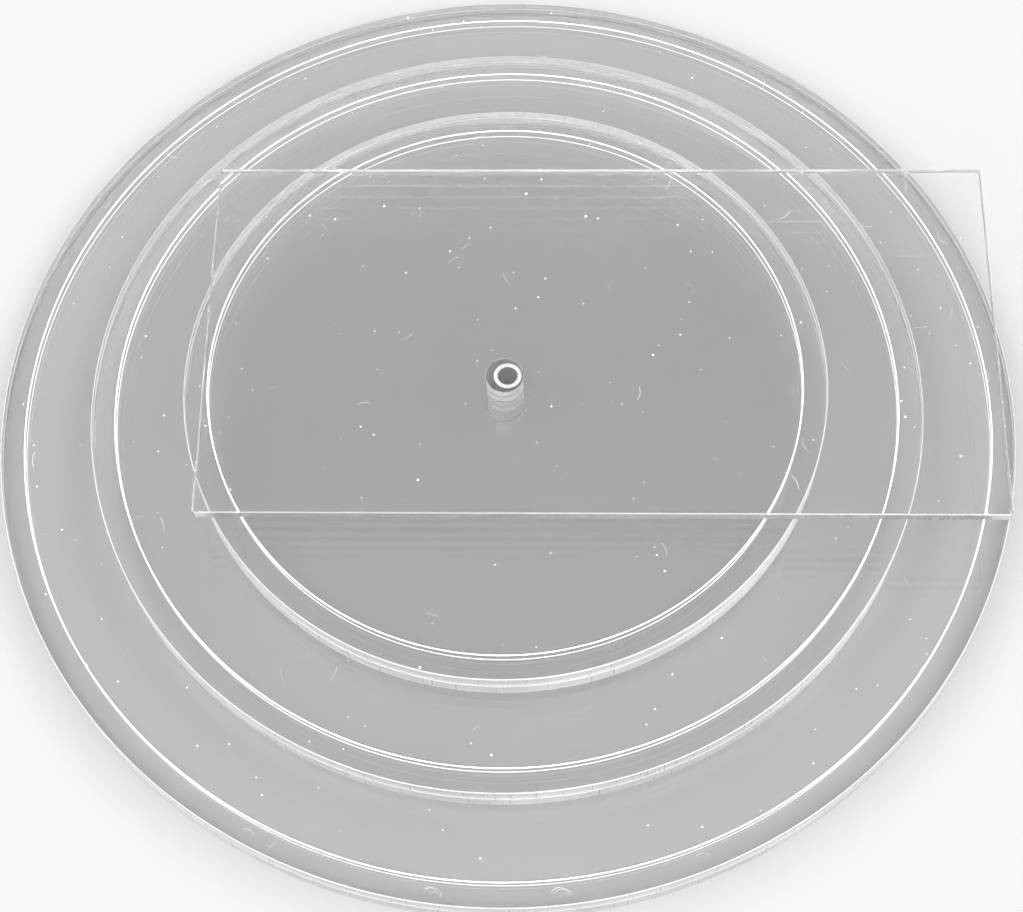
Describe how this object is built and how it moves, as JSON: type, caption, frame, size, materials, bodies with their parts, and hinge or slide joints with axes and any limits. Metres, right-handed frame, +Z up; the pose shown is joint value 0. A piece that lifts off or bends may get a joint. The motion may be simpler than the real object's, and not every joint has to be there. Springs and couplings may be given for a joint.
{
  "type": "icing smoother",
  "caption": "Clear acrylic icing set: round guide discs stacked in pairs round a tube dowel, each with a scored cake circle, and a flat rectangular icing scraper on top.",
  "frame": {"origin": "on the axis of the discs, at the level that the bottom disc stands on", "axes": "+Z up along the disc axis, +X along the long edges of the scraper, towards the end that overhangs"},
  "size_m": [0.2666, 0.2666, 0.03],
  "materials": {
    "large_disc_lower": "clear cast acrylic, polished faces, laser-cut edges",
    "large_disc_upper": "clear cast acrylic, polished faces, laser-cut edges",
    "middle_disc_lower": "clear cast acrylic, polished faces, laser-cut edges",
    "middle_disc_upper": "clear cast acrylic, polished faces, laser-cut edges",
    "small_disc_lower": "clear cast acrylic, polished faces, laser-cut edges",
    "small_disc_upper": "clear cast acrylic, polished faces, laser-cut edges",
    "centre_dowel": "clear cast acrylic, polished faces, laser-cut edges",
    "scraper": "clear cast acrylic, polished faces, laser-cut edges"
  },
  "bodies": {
    "large_disc_lower": {"large_disc_lower": "large_disc_lower"},
    "large_disc_upper": {"large_disc_upper": "large_disc_upper"},
    "middle_disc_lower": {"middle_disc_lower": "middle_disc_lower"},
    "middle_disc_upper": {"middle_disc_upper": "middle_disc_upper"},
    "small_disc_lower": {"small_disc_lower": "small_disc_lower"},
    "small_disc_upper": {"small_disc_upper": "small_disc_upper"},
    "centre_dowel": {"centre_dowel": "centre_dowel"},
    "scraper": {"scraper": "scraper"}
  },
  "joints": [
    {"name": "large_disc_upper_lift", "type": "slide", "parent": "large_disc_lower", "child": "large_disc_upper", "axis": [0, 0, 1], "range_m": [0, 0.027]},
    {"name": "middle_disc_lower_lift", "type": "slide", "parent": "large_disc_upper", "child": "middle_disc_lower", "axis": [0, 0, 1], "range_m": [0, 0.0225]},
    {"name": "middle_disc_upper_lift", "type": "slide", "parent": "middle_disc_lower", "child": "middle_disc_upper", "axis": [0, 0, 1], "range_m": [0, 0.018]},
    {"name": "small_disc_lower_lift", "type": "slide", "parent": "middle_disc_upper", "child": "small_disc_lower", "axis": [0, 0, 1], "range_m": [0, 0.0135]},
    {"name": "small_disc_upper_lift", "type": "slide", "parent": "small_disc_lower", "child": "small_disc_upper", "axis": [0, 0, 1], "range_m": [0, 0.009]},
    {"name": "scraper_lift", "type": "slide", "parent": "small_disc_upper", "child": "scraper", "axis": [0, 0, 1], "range_m": [0, 0.03]},
    {"name": "centre_dowel_spin", "type": "hinge", "parent": "large_disc_lower", "child": "centre_dowel", "pos_m": [0.00075, 0.0002, 0], "axis": [0, 0, 1], "continuous": true}
  ]
}
